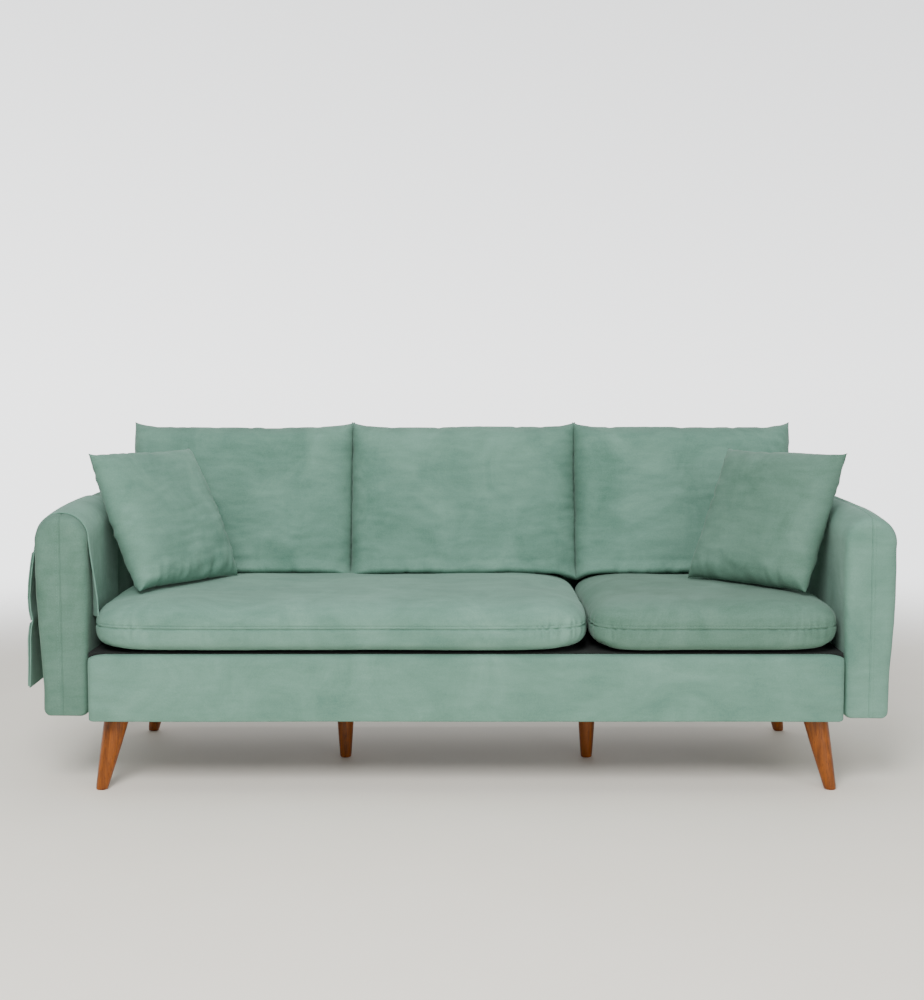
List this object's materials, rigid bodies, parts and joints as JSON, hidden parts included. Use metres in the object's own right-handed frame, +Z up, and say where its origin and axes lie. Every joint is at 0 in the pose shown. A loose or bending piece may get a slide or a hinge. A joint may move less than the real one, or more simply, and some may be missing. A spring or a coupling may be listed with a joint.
{
  "type": "sofa with wooden legs",
  "caption": "Upholstered three-seat sofa on splayed tapered wooden legs, with loose seat and back cushions, throw pillows and an arm organiser.",
  "frame": {"origin": "on the floor under the middle of the whole sofa's box, organiser included", "axes": "+X to the right of someone facing the sofa, -Y towards its front, +Z up"},
  "size_m": [2.0984, 0.8442, 0.8636],
  "materials": {
    "sage_velvet": "matt microfibre velvet with a short mottled nap",
    "stained_beech": "honey-brown stain under satin lacquer",
    "pine_frame": "bare sawn pine",
    "zinc_steel": "zinc plated",
    "spring_steel": "oiled spring wire",
    "deck_felt": "pressed felt",
    "dust_sheet": "black spunbond sheet",
    "seat_foam": "open-cell foam",
    "fibre_fill": "hollow-fibre wadding"
  },
  "bodies": {
    "sofa_frame": {"leg_front_left": "stained_beech", "leg_plate_front_left": "zinc_steel", "leg_rear_left": "stained_beech", "leg_plate_rear_left": "zinc_steel", "leg_middle_left": "stained_beech", "leg_plate_middle_left": "zinc_steel", "leg_front_right": "stained_beech", "leg_plate_front_right": "zinc_steel", "leg_rear_right": "stained_beech", "leg_plate_rear_right": "zinc_steel", "leg_middle_right": "stained_beech", "leg_plate_middle_right": "zinc_steel", "base_front_rail": "pine_frame", "base_rear_rail": "pine_frame", "base_side_rail_left": "pine_frame", "base_side_rail_right": "pine_frame", "base_cross_beam_left": "pine_frame", "base_cross_beam_right": "pine_frame", "corner_block_front_left": "pine_frame", "corner_block_front_right": "pine_frame", "corner_block_rear_left": "pine_frame", "corner_block_rear_right": "pine_frame", "arm_frame_left": "pine_frame", "arm_frame_right": "pine_frame", "back_top_rail": "pine_frame", "back_post_left": "pine_frame", "back_post_right": "pine_frame", "seat_spring_1": "spring_steel", "seat_spring_2": "spring_steel", "seat_spring_3": "spring_steel", "seat_spring_4": "spring_steel", "seat_spring_5": "spring_steel", "seat_spring_6": "spring_steel", "deck_pad": "deck_felt", "dust_cover": "dust_sheet", "base_front_cover": "sage_velvet", "arm_cover_left": "sage_velvet", "arm_cover_right": "sage_velvet", "back_cover": "sage_velvet", "arm_bolt_front_left": "zinc_steel", "arm_bolt_front_right": "zinc_steel", "arm_bolt_rear_left": "zinc_steel", "arm_bolt_rear_right": "zinc_steel"},
    "seat_wide": {"seat_cover_wide": "sage_velvet", "seat_foam_wide": "seat_foam"},
    "seat_narrow": {"seat_cover_narrow": "sage_velvet", "seat_foam_narrow": "seat_foam"},
    "back_left": {"back_cushion_cover_left": "sage_velvet", "back_cushion_fill_left": "fibre_fill"},
    "back_centre": {"back_cushion_cover_centre": "sage_velvet", "back_cushion_fill_centre": "fibre_fill"},
    "back_right": {"back_cushion_cover_right": "sage_velvet", "back_cushion_fill_right": "fibre_fill"},
    "throw_left": {"throw_pillow_cover_left": "sage_velvet", "throw_pillow_fill_left": "fibre_fill"},
    "throw_right": {"throw_pillow_cover_right": "sage_velvet", "throw_pillow_fill_right": "fibre_fill"},
    "organiser": {"arm_organiser": "sage_velvet", "organiser_pocket_upper": "sage_velvet", "organiser_pocket_lower": "sage_velvet"}
  },
  "joints": [
    {"name": "seat_wide_lift", "type": "slide", "parent": "sofa_frame", "child": "seat_wide", "axis": [0, 0, 1], "range_m": [0, 0.56]},
    {"name": "seat_narrow_lift", "type": "slide", "parent": "sofa_frame", "child": "seat_narrow", "axis": [0, 0, 1], "range_m": [0, 0.56]},
    {"name": "back_left_lift", "type": "slide", "parent": "seat_wide", "child": "back_left", "axis": [0, 0.225, 0.9744], "range_m": [0, 0.46]},
    {"name": "back_centre_lift", "type": "slide", "parent": "seat_wide", "child": "back_centre", "axis": [0, 0.225, 0.9744], "range_m": [0, 0.46]},
    {"name": "back_right_lift", "type": "slide", "parent": "seat_narrow", "child": "back_right", "axis": [0, 0.225, 0.9744], "range_m": [0, 0.46]},
    {"name": "throw_left_lift", "type": "slide", "parent": "seat_wide", "child": "throw_left", "axis": [0, 0, 1], "range_m": [0, 0.45]},
    {"name": "throw_right_lift", "type": "slide", "parent": "seat_narrow", "child": "throw_right", "axis": [0, 0, 1], "range_m": [0, 0.45]},
    {"name": "organiser_slide", "type": "slide", "parent": "sofa_frame", "child": "organiser", "axis": [0, -1, 0], "range_m": [0, 0.36]}
  ]
}
